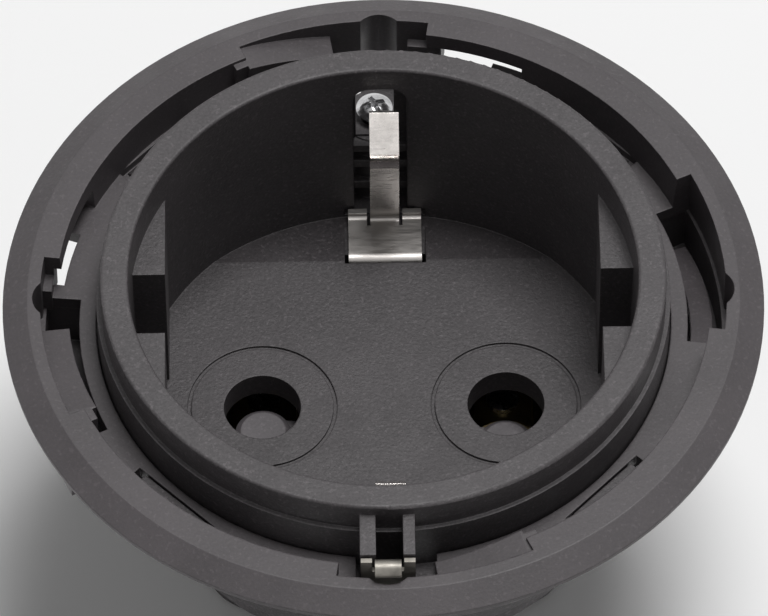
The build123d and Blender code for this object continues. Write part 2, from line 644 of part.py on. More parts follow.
# Rear housing: rimmed plate under the cup's floor, and a box for the contacts and terminals
with BuildPart() as rear_housing:
    with BuildSketch(Plane.XY.offset(PLATE_BOTTOM)):
        Circle(HOUSING_RADIUS)
    extrude(amount=FLOOR_BOTTOM - PLATE_BOTTOM)
    chamfer(rear_housing.edges().group_by(Axis.Z)[0], length=PLATE_BEVEL)
    with BuildSketch(Plane.XY.offset(PARTING)):
        Circle(HOLLOW_RADIUS)
    extrude(amount=FLOOR_BOTTOM - PARTING, mode=Mode.SUBTRACT)
    with BuildSketch(Plane.XY.offset(PLATE_BOTTOM)):
        with Locations((FRONT_SCREW_X, (HOLLOW_RADIUS + FRONT_SCREW_Y) / 2)):
            Rectangle(EAR_WIDTH, FRONT_SCREW_Y - HOLLOW_RADIUS)
    extrude(amount=PLATE_THICKNESS)
    # Notch in the rim where the bonding spring comes in
    box_between(
        (-SPRING_WIDTH / 2 - STRAP_CLEARANCE, -HOUSING_RADIUS - 1, SPRING_LEVEL - 0.5),
        (SPRING_WIDTH / 2 + STRAP_CLEARANCE, 1 - HOLLOW_RADIUS, FLOOR_BOTTOM),
        mode=Mode.SUBTRACT,
    )
    with BuildSketch(Plane.XY.offset(BACK)):
        box_outline(0)
    extrude(amount=PLATE_BOTTOM - BACK)
    far_corners = rear_housing.edges().filter_by(Axis.Z).filter_by_position(
        Axis.Y, BOX_FAR_Y - 0.01, BOX_FAR_Y + 0.01
    )
    fillet(far_corners, radius=BOX_CORNER)
    back_edges = rear_housing.edges().group_by(Axis.Z)[0]
    fillet(back_edges, radius=0.8)
    with BuildSketch(Plane.XY.offset(BACK_INSIDE)):
        box_outline(BOX_WALL)
    extrude(amount=PLATE_BOTTOM - BACK_INSIDE, mode=Mode.SUBTRACT)
    with BuildSketch(Plane.XY.offset(PLATE_BOTTOM)):
        box_outline(BOX_WALL)
        Circle(HOLLOW_RADIUS, mode=Mode.INTERSECT)
    extrude(amount=PLATE_THICKNESS, mode=Mode.SUBTRACT)
    # Dividers between the earth parts and the live parts, and a tube under each contact
    near_y = BOX_WALL - BOX_RADIUS
    far_y = BOX_FAR_Y - BOX_WALL
    with BuildSketch(Plane.XY.offset(BACK_INSIDE)):
        with Locations((DIVIDER_X, (near_y + far_y) / 2), (-DIVIDER_X, (near_y + far_y) / 2)):
            Rectangle(DIVIDER_THICKNESS, far_y - near_y + 0.4)
    extrude(amount=CONTACT_TOP - BACK_INSIDE)
    with BuildSketch(Plane.XY.offset(BACK_INSIDE)):
        with Locations((PIN_X, 0), (-PIN_X, 0)):
            Circle(CONTACT_RADIUS + 0.3)
            Circle(PIN_RADIUS + 0.2, mode=Mode.SUBTRACT)
    extrude(amount=TERMINAL_TOP - BACK_INSIDE)
    # Post that the shutter turns on
    with BuildSketch(Plane.XY.offset(BACK_INSIDE)):
        Circle(POST_BASE_RADIUS)
    extrude(amount=POST_BASE_TOP - BACK_INSIDE)
    with BuildSketch(Plane.XY.offset(BACK_INSIDE)):
        Circle(POST_RADIUS)
    extrude(amount=POST_SHAFT_TOP - BACK_INSIDE)
    # Holes for the rear screws
    with BuildSketch(Plane.XY.offset(PLATE_BOTTOM)):
        with Locations(*HOUSING_SCREW_POINTS):
            Circle(SCREW_RADIUS + 0.2)
    extrude(amount=PLATE_THICKNESS, mode=Mode.SUBTRACT)
    with BuildSketch(Plane.XY.offset(PLATE_BOTTOM)):
        with Locations(*HOUSING_SCREW_POINTS):
            Circle(SCREW_HEAD_RADIUS + 0.2)
    extrude(amount=HEAD_RECESS, mode=Mode.SUBTRACT)
    # Ear for the far screw
    with BuildSketch(Plane.XY.offset(LUG_BOTTOM)):
        with Locations((FRONT_SCREW_X, FRONT_SCREW_Y)):
            Circle(BOSS_RADIUS)
    extrude(amount=PARTING - LUG_BOTTOM)
    with BuildSketch(Plane.XY.offset(FRONT_SCREW_END - 0.5)):
        with Locations((FRONT_SCREW_X, FRONT_SCREW_Y)):
            Circle(FRONT_SHANK_RADIUS + FRONT_PILOT_GAP)
    extrude(amount=PARTING - FRONT_SCREW_END + 0.5, mode=Mode.SUBTRACT)
    # Wire entries in the far wall, and openings in the back for a screwdriver
    with BuildSketch(Plane.XZ.offset(-BOX_FAR_Y)):
        with Locations(*[(x, SCREW_LEVEL) for x in TERMINAL_XS]):
            Circle(WIRE_RADIUS + 0.5)
    extrude(amount=BOX_WALL, mode=Mode.SUBTRACT)
    with BuildSketch(Plane.XY.offset(BACK)):
        with Locations(*[(x, SCREW_Y) for x in TERMINAL_XS]):
            Circle(SCREW_HEAD_RADIUS + 0.3)
    extrude(amount=BACK_PLATE, mode=Mode.SUBTRACT)
finish(rear_housing, "rear_housing")

# Shutter: beam on a hub, with a bevelled pad under each pin hole, one set deeper than the other
beam_middle = sum(BEAM_TOPS) / 2
beam_rise = (BEAM_TOPS[1] - BEAM_TOPS[0]) * BEAM_HALF_LENGTH / PIN_SPACING
with BuildPart() as shutter:
    with BuildSketch(Plane.XZ):
        with BuildLine():
            Polyline(
                (-BEAM_HALF_LENGTH, beam_middle - beam_rise),
                (BEAM_HALF_LENGTH, beam_middle + beam_rise),
                (BEAM_HALF_LENGTH, beam_middle + beam_rise - BEAM_THICKNESS),
                (-BEAM_HALF_LENGTH, beam_middle - beam_rise - BEAM_THICKNESS),
                close=True,
            )
        make_face()
    extrude(amount=BEAM_WIDTH / 2, both=True)
    for side, pad_top, beam_top in zip((-1, 1), PAD_TOPS, BEAM_TOPS):
        with BuildSketch(Plane.XY.offset(pad_top - PAD_BEVEL)):
            with Locations((side * PIN_X, 0)):
                Circle(PAD_RADIUS)
        extrude(amount=PAD_BEVEL, taper=45)
        with BuildSketch(Plane.XY.offset(pad_top - PAD_BEVEL)):
            with Locations((side * PIN_X, 0)):
                Circle(PAD_RADIUS)
        extrude(amount=beam_top - BEAM_THICKNESS / 2 - pad_top + PAD_BEVEL)
    with BuildSketch(Plane.XY.offset(HUB_BOTTOM)):
        Circle(HUB_RADIUS)
    extrude(amount=HUB_TOP - HUB_BOTTOM)
    with BuildSketch(Plane.XY.offset(HUB_BOTTOM)):
        Circle(POST_RADIUS + POST_CLEARANCE)
    extrude(amount=POST_SHAFT_TOP + POST_CLEARANCE - HUB_BOTTOM, mode=Mode.SUBTRACT)
finish(shutter, "shutter")

# Coil spring of flat wire round the post, which turns the shutter back
with BuildPart() as shutter_spring:
    with BuildLine():
        coil = Helix(pitch=COIL_PITCH, height=COIL_HEIGHT, radius=COIL_RADIUS, center=(0, 0, COIL_Z))
    with BuildSketch(Plane(origin=coil @ 0, x_dir=(1, 0, 0), z_dir=coil % 0)):
        Rectangle(COIL_WIDTH, COIL_THICKNESS)
    sweep(path=coil, is_frenet=True)
finish(shutter_spring, "shutter_spring")

# Earth bracket: one bent strip from clip to clip, under the floor
foot_level = foot_bed + STRAP_THICKNESS / 2
with BuildPart() as earth_bracket:
    for side, clip_top in ((1, FAR_CLIP_TOP), (-1, NEAR_CLIP_TOP)):
        with BuildSketch(Plane.YZ.offset(BRACKET_X)):
            with BuildLine():
                FilletPolyline(
                    (0, STRAP_LEVEL),
                    (side * FOOT_INNER_Y, STRAP_LEVEL),
                    (side * FOOT_INNER_Y, foot_level),
                    (side * FOOT_OUTER_Y, foot_level),
                    (side * FOOT_OUTER_Y, foot_level + SHOULDER_RISE),
                    radius=BEND_RADIUS,
                )
            trace(line_width=STRAP_THICKNESS)
        extrude(amount=STRAP_WIDTH / 2, both=True)
        slot_half = BLADE_WIDTH / 2 + 0.25
        low_y, high_y = sorted((side * (FOOT_OUTER_Y - 1.1), side * (FOOT_OUTER_Y + 1)))
        box_between(
            (BRACKET_X - slot_half, low_y, foot_level - 1),
            (BRACKET_X + slot_half, high_y, foot_level + SHOULDER_RISE + 1),
            mode=Mode.SUBTRACT,
        )
        with BuildSketch(Plane.YZ.offset(BRACKET_X)):
            with BuildLine():
                FilletPolyline(
                    (side * (FOOT_OUTER_Y - 1.3), foot_level),
                    (side * FOOT_OUTER_Y, foot_level),
                    (side * KNEE_Y, KNEE_Z),
                    (side * CLIP_TOP_Y, clip_top),
                    radius=[BEND_RADIUS, 1.5],
                )
            trace(line_width=STRAP_THICKNESS)
        extrude(amount=BLADE_WIDTH / 2, both=True)
    with BuildSketch(Plane.XY.offset(STRAP_LEVEL)):
        with Locations(*[(0, y) for y in STRAP_RIVET_YS]):
            Circle(RIVET_RADIUS + 0.05)
    extrude(amount=STRAP_THICKNESS, both=True, mode=Mode.SUBTRACT)
finish(earth_bracket, "earth_bracket")

# Earth link: bent strip from the bracket down to the earth terminal
with BuildPart() as earth_link:
    with BuildSketch(Plane.YZ):
        with BuildLine():
            FilletPolyline(
                (STRAP_RIVET_YS[0] + 1.8, LINK_LEVEL),
                (LINK_Y, LINK_LEVEL),
                (LINK_Y, TERMINAL_TOP + STRAP_THICKNESS / 2),
                (TERMINAL_FAR - 0.2, TERMINAL_TOP + STRAP_THICKNESS / 2),
                radius=BEND_RADIUS,
            )
        trace(line_width=STRAP_THICKNESS)
    extrude(amount=LINK_WIDTH / 2, both=True)
    with BuildSketch(Plane.XY.offset(LINK_LEVEL)):
        with Locations((0, STRAP_RIVET_YS[0])):
            Circle(RIVET_RADIUS + 0.05)
    extrude(amount=STRAP_THICKNESS, both=True, mode=Mode.SUBTRACT)
    with BuildSketch(Plane.XY.offset(TERMINAL_TOP)):
        with Locations((0, RIVET_Y)):
            Circle(RIVET_RADIUS + 0.05)
    extrude(amount=STRAP_THICKNESS, mode=Mode.SUBTRACT)
finish(earth_link, "earth_link")

# Bonding spring: wide leg against the posts, and a curled tongue in the scallop
with BuildPart() as bonding_spring:
    with BuildSketch(Plane.YZ):
        with BuildLine():
            FilletPolyline(
                (-SPRING_INNER_Y, SPRING_LEVEL),
                (-SPRING_Y, SPRING_LEVEL),
                (-SPRING_Y, SPRING_TOP),
                radius=0.8,
            )
        trace(line_width=SPRING_THICKNESS)
    extrude(amount=SPRING_WIDTH / 2, both=True)
    box_between(
        (-TONGUE_WIDTH / 2 - 0.2, -SPRING_Y - 0.5, SPRING_TOP - 1.2),
        (TONGUE_WIDTH / 2 + 0.2, -SPRING_Y + 0.5, SPRING_TOP + 0.5),
        mode=Mode.SUBTRACT,
    )
    curl_centre = CURL_TOP - CURL_RADIUS - SPRING_THICKNESS / 2
    with BuildSketch(Plane.YZ):
        with BuildLine():
            Line((-SPRING_Y, SPRING_TOP - 1.4), (-SPRING_Y, curl_centre))
            CenterArc((-SPRING_Y - CURL_RADIUS, curl_centre), CURL_RADIUS, 0, 205)
        trace(line_width=SPRING_THICKNESS)
    extrude(amount=TONGUE_WIDTH / 2, both=True)
    with BuildSketch(Plane.XY.offset(SPRING_LEVEL)):
        with Locations((0, STRAP_RIVET_YS[1])):
            Circle(RIVET_RADIUS + 0.05)
    extrude(amount=SPRING_THICKNESS, both=True, mode=Mode.SUBTRACT)
finish(bonding_spring, "bonding_spring")

# Rivets that hold the link and the spring to the bracket
rivet_heights = {
    STRAP_RIVET_YS[0]: STRAP_LEVEL - 1.5 * STRAP_THICKNESS,
    STRAP_RIVET_YS[1]: STRAP_LEVEL - STRAP_THICKNESS / 2 - SPRING_THICKNESS,
}
with BuildPart() as strap_rivets:
    for rivet_y, lower_face in rivet_heights.items():
        upper_face = STRAP_LEVEL + STRAP_THICKNESS / 2
        with BuildSketch(Plane.XY.offset(lower_face)):
            with Locations((0, rivet_y)):
                Circle(RIVET_RADIUS)
        extrude(amount=upper_face - lower_face)
        with BuildSketch(Plane.XY.offset(upper_face)):
            with Locations((0, rivet_y)):
                Circle(RIVET_HEAD_RADIUS)
        extrude(amount=RIVET_HEAD_HEIGHT)
        with BuildSketch(Plane.XY.offset(lower_face)):
            with Locations((0, rivet_y)):
                Circle(RIVET_HEAD_RADIUS)
        extrude(amount=-RIVET_HEAD_HEIGHT)
finish(strap_rivets, "strap_rivets")

# Rivets that hold each contact's foot down on its terminal
with BuildPart() as foot_rivets:
    for x, foot_thickness in zip(TERMINAL_XS, (FOOT_THICKNESS, STRAP_THICKNESS, FOOT_THICKNESS)):
        with BuildSketch(Plane.XY.offset(TERMINAL_TOP - RIVET_DEPTH)):
            with Locations((x, RIVET_Y)):
                Circle(RIVET_RADIUS)
        extrude(amount=RIVET_DEPTH + foot_thickness)
        with BuildSketch(Plane.XY.offset(TERMINAL_TOP + foot_thickness)):
            with Locations((x, RIVET_Y)):
                Circle(RIVET_RADIUS + 0.5)
        extrude(amount=RIVET_HEAD_HEIGHT)
finish(foot_rivets, "foot_rivets")

# Line and neutral contacts: slit sleeve with a foot out to the terminal, and its steel spring ring
for side, pole in ((-1, "line"), (1, "neutral")):
    with BuildPart() as contact:
        with BuildSketch(Plane.XY.offset(TERMINAL_TOP)):
            with Locations((side * PIN_X, 0)):
                Circle(CONTACT_RADIUS)
            with Locations((side * PIN_X, TERMINAL_FAR / 2 - 0.1)):
                Rectangle(FOOT_WIDTH, TERMINAL_FAR - 0.2)
        extrude(amount=FOOT_THICKNESS)
        with BuildSketch(Plane.XY.offset(TERMINAL_TOP)):
            with Locations((side * PIN_X, 0)):
                Circle(CONTACT_RADIUS)
        extrude(amount=CONTACT_TOP - TERMINAL_TOP)
        with BuildSketch(Plane.XY.offset(TERMINAL_TOP)):
            with Locations((side * PIN_X, 0)):
                Circle(PIN_RADIUS)
            with Locations((side * PIN_X, RIVET_Y)):
                Circle(RIVET_RADIUS + 0.05)
        extrude(amount=CONTACT_TOP - TERMINAL_TOP, mode=Mode.SUBTRACT)
        with BuildSketch(Plane.XY.offset(CONTACT_TOP)):
            with Locations((side * PIN_X, 0)):
                Rectangle(SLIT_WIDTH, 2 * CONTACT_RADIUS + 1)
                Rectangle(2 * CONTACT_RADIUS + 1, SLIT_WIDTH)
        extrude(amount=-SLIT_LENGTH, mode=Mode.SUBTRACT)
    finish(contact, f"{pole}_contact")
    with BuildPart() as contact_spring:
        with BuildSketch(Plane.XY.offset(SPRING_RING_Z)):
            with Locations((side * PIN_X, 0)):
                Circle(SPRING_RING_RADIUS)
                Circle(SPRING_RING_RADIUS - SPRING_RING_WALL, mode=Mode.SUBTRACT)
            with Locations((side * (PIN_X + CONTACT_RADIUS), 0)):
                Rectangle(3, 1.4, mode=Mode.SUBTRACT)
        extrude(amount=SPRING_RING_HEIGHT)
    finish(contact_spring, f"{pole}_contact_spring")

# Terminal blocks, each with a wire bore in its far face and a screw hole in its back
for x, pole in zip(TERMINAL_XS, ("line", "earth", "neutral")):
    with BuildPart() as terminal:
        with BuildSketch(Plane.XY.offset(BACK_INSIDE)):
            with Locations((x, TERMINAL_Y)):
                Rectangle(TERMINAL_SIZE, TERMINAL_SIZE)
        extrude(amount=TERMINAL_HEIGHT)
        chamfer(terminal.edges().filter_by(Axis.Z), length=0.4)
        with BuildSketch(Plane.XZ.offset(-TERMINAL_FAR)):
            with Locations((x, SCREW_LEVEL)):
                Circle(WIRE_RADIUS)
        extrude(amount=WIRE_DEPTH, mode=Mode.SUBTRACT)
        with BuildSketch(Plane.XY.offset(BACK_INSIDE)):
            with Locations((x, SCREW_Y)):
                Circle(SCREW_RADIUS + 0.05)
        extrude(amount=SCREW_LEVEL - BACK_INSIDE, mode=Mode.SUBTRACT)
        with BuildSketch(Plane.XY.offset(TERMINAL_TOP)):
            with Locations((x, RIVET_Y)):
                Circle(RIVET_RADIUS)
        extrude(amount=-RIVET_DEPTH, mode=Mode.SUBTRACT)
    finish(terminal, f"{pole}_terminal")

# Terminal screws, slotted, with their tips in the wire bores
screw_tip = SCREW_LEVEL - WIRE_RADIUS + 0.6
screw_seat = BACK_INSIDE - SCREW_STAND
with BuildPart() as terminal_screws:
    for x in TERMINAL_XS:
        with BuildSketch(Plane.XY.offset(screw_seat)):
            with Locations((x, SCREW_Y)):
                Circle(SCREW_RADIUS)
        extrude(amount=screw_tip - screw_seat)
        with BuildSketch(Plane.XY.offset(screw_seat)):
            with Locations((x, SCREW_Y)):
                Circle(SCREW_HEAD_RADIUS)
        extrude(amount=-SCREW_HEAD_HEIGHT)
        with BuildSketch(Plane.XY.offset(screw_seat - SCREW_HEAD_HEIGHT)):
            with Locations((x, SCREW_Y)):
                Rectangle(2 * SCREW_HEAD_RADIUS, SLOT_CUT)
        extrude(amount=0.8, mode=Mode.SUBTRACT)
finish(terminal_screws, "terminal_screws")

# Rear screws into the body's bosses, with crossed recesses
with BuildPart() as housing_screws:
    for x, y in HOUSING_SCREW_POINTS:
        with BuildSketch(Plane.XY.offset(HEAD_SEAT)):
            with Locations((x, y)):
                Circle(SCREW_RADIUS)
        extrude(amount=SCREW_HOLE_TOP - 0.3 - HEAD_SEAT)
        with BuildSketch(Plane.XY.offset(HEAD_SEAT)):
            with Locations((x, y)):
                Circle(SCREW_HEAD_RADIUS)
        extrude(amount=-SCREW_HEAD_HEIGHT)
        with BuildSketch(Plane.XY.offset(HEAD_SEAT - SCREW_HEAD_HEIGHT)):
            with Locations((x, y)):
                Rectangle(2.4, SLOT_CUT)
                Rectangle(SLOT_CUT, 2.4)
        extrude(amount=0.9, mode=Mode.SUBTRACT)
finish(housing_screws, "housing_screws")

# Far screw: low domed, countersunk head on a plain shank
with BuildPart() as front_screw:
    with BuildSketch(Plane.XZ.offset(-FRONT_SCREW_Y)):
        with BuildLine():
            dome = TangentArc(
                (FRONT_SCREW_X, FRONT_HEAD_TOP),
                (FRONT_SCREW_X + FRONT_HEAD_RADIUS, FRONT_HEAD_RIM),
                tangent=(1, 0),
            )
            Polyline(
                dome @ 1,
                (FRONT_SCREW_X + FRONT_SHANK_RADIUS, FRONT_HEAD_RIM - 2 * seat_depth),
                (FRONT_SCREW_X + FRONT_SHANK_RADIUS, FRONT_SCREW_END + 1.5),
                (FRONT_SCREW_X, FRONT_SCREW_END),
                dome @ 0,
            )
        make_face()
    revolve(axis=Axis((FRONT_SCREW_X, FRONT_SCREW_Y, 0), (0, 0, 1)))
    with BuildSketch(Plane.XY.offset(FRONT_HEAD_TOP)):
        with Locations(Location((FRONT_SCREW_X, FRONT_SCREW_Y), 25)):
            Rectangle(1.7, 0.4)
            Rectangle(0.4, 1.7)
    extrude(amount=-0.9, mode=Mode.SUBTRACT)
finish(front_screw, "front_screw")
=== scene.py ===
"""Looks of the round flush-mounting power socket: finishes, one small piece, light and camera.

Lengths are metres in the CAD's frame, unless a comment says millimetres. +Z points out of the
socket's front, and +X runs along the line of its pin holes.
"""

import math

import bpy
from mathutils import Matrix, Vector


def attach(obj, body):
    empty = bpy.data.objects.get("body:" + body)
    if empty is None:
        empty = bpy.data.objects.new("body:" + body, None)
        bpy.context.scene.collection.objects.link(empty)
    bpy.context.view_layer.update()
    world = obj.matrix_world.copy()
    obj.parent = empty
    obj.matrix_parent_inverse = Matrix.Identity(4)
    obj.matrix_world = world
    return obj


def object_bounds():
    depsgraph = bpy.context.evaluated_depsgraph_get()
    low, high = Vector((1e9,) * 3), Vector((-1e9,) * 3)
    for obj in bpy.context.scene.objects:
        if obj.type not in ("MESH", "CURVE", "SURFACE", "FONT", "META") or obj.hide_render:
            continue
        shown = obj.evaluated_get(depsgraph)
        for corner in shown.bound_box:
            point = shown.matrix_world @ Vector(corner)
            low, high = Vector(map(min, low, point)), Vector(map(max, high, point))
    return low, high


MM = 0.001

# Camera, solved on the photograph: it looks at the middle of the cup's rim. Angles are degrees
IMAGE_WIDTH = 768
IMAGE_HEIGHT = 616
RIM_PIXEL = (383.12, 273.73)
RIM_TOP = 3.9 * MM
FOCAL_PIXELS = 8622.9
SENSOR_MILLIMETRES = 36.0
CAMERA_DISTANCE = 658.4 * MM
CAMERA_ELEVATION = 54.075
CAMERA_AZIMUTH = -0.45
CAMERA_ROLL = -0.467
CAMERA_NEAREST = 0.01
CAMERA_FARTHEST = 20.0

# Rib on the outside of the boss: its outer side slopes in to the boss at the bottom
RIB_LEFT = -1.45 * MM
RIB_RIGHT = 1.25 * MM
RIB_INNER = 24.7 * MM
RIB_OUTER = 26.5 * MM
RIB_TOP = -7.3 * MM
RIB_OUTER_FOOT = -8.3 * MM
RIB_INNER_FOOT = -12.5 * MM
RIB_ROUNDING = 0.2 * MM
RIB_ROUNDING_STEPS = 3

# Heights in millimetres where shade is painted on the clips: darkest below their knee, less dark and
# rougher at their foot
CLIP_KNEE = -2.6
CLIP_FOOT = -11.6

# Floor and light
FLOOR_REACH = 3.0
FLOOR_WHITE = (0.97, 0.97, 0.97, 1.0)
FLOOR_ROUGHNESS = 0.9
AMBIENT_LIGHT = 0.20
SEEN_LIGHT = 1.0
LAMP_PLACE = (0.16, 0.12, 1.0)
LAMP_SIZE = 0.40
LAMP_WATTS = 8.5

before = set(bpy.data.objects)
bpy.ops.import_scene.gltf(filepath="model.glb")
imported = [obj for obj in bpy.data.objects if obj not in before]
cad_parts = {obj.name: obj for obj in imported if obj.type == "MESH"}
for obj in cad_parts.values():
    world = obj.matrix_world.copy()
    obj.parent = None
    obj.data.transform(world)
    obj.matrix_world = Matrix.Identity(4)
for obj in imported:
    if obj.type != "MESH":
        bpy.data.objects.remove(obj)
cad_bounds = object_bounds()


# Node helpers

class Nodes:
    """Short calls to add and link the nodes of one material. Sizes are in millimetres."""

    def __init__(self, name):
        self.material = bpy.data.materials.new(name)
        self.material.use_nodes = True
        self.tree = self.material.node_tree
        self.shader = self.tree.nodes["Principled BSDF"]
        where = self.add("ShaderNodeTexCoord")
        self.place = self.add("ShaderNodeVectorMath", operation="SCALE")
        self.place.inputs["Scale"].default_value = 1 / MM
        self.link(where.outputs["Object"], self.place.inputs[0])

    def add(self, kind, **settings):
        """Adds a node with these settings."""
        node = self.tree.nodes.new(kind)
        for name, value in settings.items():
            setattr(node, name, value)
        return node

    def link(self, start, end):
        """Links an output to an input."""
        self.tree.links.new(start, end)

    def noise(self, size, detail=3.0, roughness=0.5, stretch=(1, 1, 1)):
        """Noise with grains of about this size."""
        scaled = self.add("ShaderNodeVectorMath", operation="MULTIPLY")
        scaled.inputs[1].default_value = stretch
        self.link(self.place.outputs[0], scaled.inputs[0])
        noise = self.add("ShaderNodeTexNoise")
        noise.inputs["Scale"].default_value = 1 / size
        noise.inputs["Detail"].default_value = detail
        noise.inputs["Roughness"].default_value = roughness
        self.link(scaled.outputs[0], noise.inputs["Vector"])
        return noise.outputs["Fac"]

    def height(self):
        """Height along +Z."""
        node = self.add("ShaderNodeSeparateXYZ")
        self.link(self.place.outputs[0], node.inputs[0])
        return node.outputs["Z"]

    def remap(self, value, low, high, to_low=0.0, to_high=1.0):
        """Maps a value from one range to another, and stops at its ends."""
        node = self.add("ShaderNodeMapRange")
        self.link(value, node.inputs["Value"])
        node.inputs["From Min"].default_value = low
        node.inputs["From Max"].default_value = high
        node.inputs["To Min"].default_value = to_low
        node.inputs["To Max"].default_value = to_high
        return node.outputs["Result"]

    def calculate(self, operation, first, second):
        """Result of an operation on two values, each a number or an output."""
        node = self.add("ShaderNodeMath", operation=operation)
        for socket, value in zip(node.inputs, (first, second)):
            if isinstance(value, (int, float)):
                socket.default_value = value
            else:
                self.link(value, socket)
        return node.outputs[0]

    def mix(self, factor, first, second):
        """Mixes two colours, each a tuple or an output."""
        node = self.add("ShaderNodeMix", data_type="RGBA")
        self.link(factor, node.inputs["Factor"])
        # The node's colour sockets share their names with others, so they are found by number
        colour_inputs = node.inputs[6:8]
        colour_output = node.outputs[2]
        for socket, value in zip(colour_inputs, (first, second)):
            if isinstance(value, tuple):
                socket.default_value = (*value, 1.0)
            else:
                self.link(value, socket)
        return colour_output

    def bump(self, height, distance, strength, normal):
        """Normal tilted by a relief of this depth, on top of another normal."""
        node = self.add("ShaderNodeBump")
        node.inputs["Strength"].default_value = strength
        node.inputs["Distance"].default_value = distance * MM
        self.link(height, node.inputs["Height"])
        self.link(normal, node.inputs["Normal"])
        return node.outputs["Normal"]

    def rounded(self, radius, samples=6):
        """Normal with edges rounded to a radius."""
        node = self.add("ShaderNodeBevel", samples=samples)
        node.inputs["Radius"].default_value = radius * MM
        return node.outputs["Normal"]

    def edges(self, radius, faint=0.02, full=0.25):
        """1 on sharp edges and 0 on faces."""
        plain = self.add("ShaderNodeNewGeometry")
        likeness = self.add("ShaderNodeVectorMath", operation="DOT_PRODUCT")
        self.link(self.rounded(radius), likeness.inputs[0])
        self.link(plain.outputs["Normal"], likeness.inputs[1])
        tilt = self.calculate("SUBTRACT", 1.0, likeness.outputs["Value"])
        return self.remap(tilt, faint, full)


def shade(colour, share, added=0.0):
    """A colour made darker or lighter."""
    return tuple(share * part + added for part in colour)


def plastic(name, colour, roughness, edge_radius=0.14, scuffs=0.6, grain=1.0):
    """Dark moulded plastic: fine grain, cloudy tone, and edges rubbed lighter here and there."""
    cloud_size, grain_size, speck_size, rub_size = 7.0, 0.24, 0.34, 1.1
    gloss_size, relief_size, relief_depth = 2.6, 0.26, 0.05
    specular_level = 0.44
    nodes = Nodes(name)

    clouds = nodes.remap(nodes.noise(cloud_size, detail=4.0), low=0.35, high=0.65)
    tone = nodes.mix(clouds, shade(colour, 0.86), shade(colour, 1.16))
    grains = nodes.remap(nodes.noise(grain_size, detail=2.0, roughness=0.7), low=0.40, high=0.62)
    grains = nodes.calculate("MULTIPLY", grains, 0.6 * grain)
    tone = nodes.mix(grains, tone, shade(colour, 1.75))
    specks = nodes.noise(speck_size, detail=2.0)
    specks = nodes.remap(specks, low=0.60, high=0.68, to_high=0.7 * grain)
    tone = nodes.mix(specks, tone, shade(colour, 2.5))
    patches = nodes.noise(rub_size, detail=5.0, roughness=0.65)
    patches = nodes.remap(patches, low=0.47, high=0.66, to_high=scuffs)
    rub = nodes.calculate("MULTIPLY", nodes.edges(edge_radius), patches)
    tone = nodes.mix(rub, tone, shade(colour, 3.2, added=0.04))
    nodes.link(tone, nodes.shader.inputs["Base Color"])

    gloss = nodes.noise(gloss_size, detail=4.0)
    gloss = nodes.remap(gloss, low=0.3, high=0.7, to_low=roughness - 0.06, to_high=roughness + 0.07)
    nodes.link(gloss, nodes.shader.inputs["Roughness"])
    nodes.shader.inputs["Specular IOR Level"].default_value = specular_level

    texture = nodes.noise(relief_size, detail=3.0, roughness=0.7)
    relief = nodes.bump(texture, relief_depth, 0.8 * grain, nodes.rounded(edge_radius))
    nodes.link(relief, nodes.shader.inputs["Normal"])
    return nodes.material


def metal(name, colour, roughness, edge_radius=0.06, stretch=(1, 1, 1), stain=0.25, relief=0.006,
          painted_shade=()):
    """Bare or plated metal: drawn streaks, faint stains and uneven gloss.

    Each painted_shade step paints shade below a height: the height in millimetres, the share of the
    colour that is left below it and the roughness that is added there.
    """
    stain_size, streak_size = 2.2, 0.35
    fade_height, relief_strength = 1.0, 0.5
    nodes = Nodes(name)
    stains = nodes.remap(nodes.noise(stain_size, detail=5.0, roughness=0.6), low=0.42, high=0.68)
    tone = nodes.mix(stains, colour, shade(colour, 1 - stain))
    streaks = nodes.noise(streak_size, detail=3.0, stretch=stretch)
    gloss = nodes.remap(streaks, low=0.3, high=0.7, to_low=roughness - 0.07, to_high=roughness + 0.1)
    # Painted shade: below each height the colour is darkened to the given share, and roughness is
    # added there
    for top, share, extra in painted_shade:
        shaded_below = nodes.remap(nodes.height(), low=top, high=top - fade_height)
        tone = nodes.mix(shaded_below, tone, shade(colour, share))
        gloss = nodes.calculate("ADD", gloss, nodes.calculate("MULTIPLY", shaded_below, extra))
    drawn = nodes.bump(streaks, relief, relief_strength, nodes.rounded(edge_radius))
    nodes.link(tone, nodes.shader.inputs["Base Color"])
    nodes.link(gloss, nodes.shader.inputs["Roughness"])
    nodes.link(drawn, nodes.shader.inputs["Normal"])
    nodes.shader.inputs["Metallic"].default_value = 1.0
    return nodes.material


def paint(node, material):
    """Gives a CAD node its material."""
    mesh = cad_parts[node].data
    mesh.materials.clear()
    mesh.materials.append(material)


# Finishes

body_plastic = plastic("body_plastic", (0.039, 0.035, 0.037), 0.50)
ring_plastic = plastic("ring_plastic", (0.050, 0.044, 0.047), 0.46, scuffs=0.8, grain=0.4)
housing_plastic = plastic("housing_plastic", (0.046, 0.042, 0.044), 0.55)
pad_plastic = plastic("pad_plastic", (0.088, 0.080, 0.085), 0.50, scuffs=0.3, grain=0.3)
# The clips' darker tone below the knee and at the foot is painted shade, set by height
clip_metal = metal(
    "clip_metal", (0.76, 0.72, 0.69), 0.21, edge_radius=0.05, stretch=(0.3, 1.6, 1.6), relief=0.001,
    painted_shade=((CLIP_KNEE, 0.20, 0.0), (CLIP_FOOT, 0.46, 0.18)),
)
dull_metal = metal("dull_metal", (0.26, 0.245, 0.22), 0.45, stretch=(0.4, 4, 4), stain=0.4)
brass = metal("brass", (0.34, 0.26, 0.14), 0.50, stain=0.4)
terminal_brass = metal("terminal_brass", (0.70, 0.55, 0.29), 0.38)
zinc = metal("zinc", (0.74, 0.73, 0.71), 0.28)
bright_zinc = metal("bright_zinc", (0.62, 0.62, 0.63), 0.16, stain=0.5, relief=0.06)

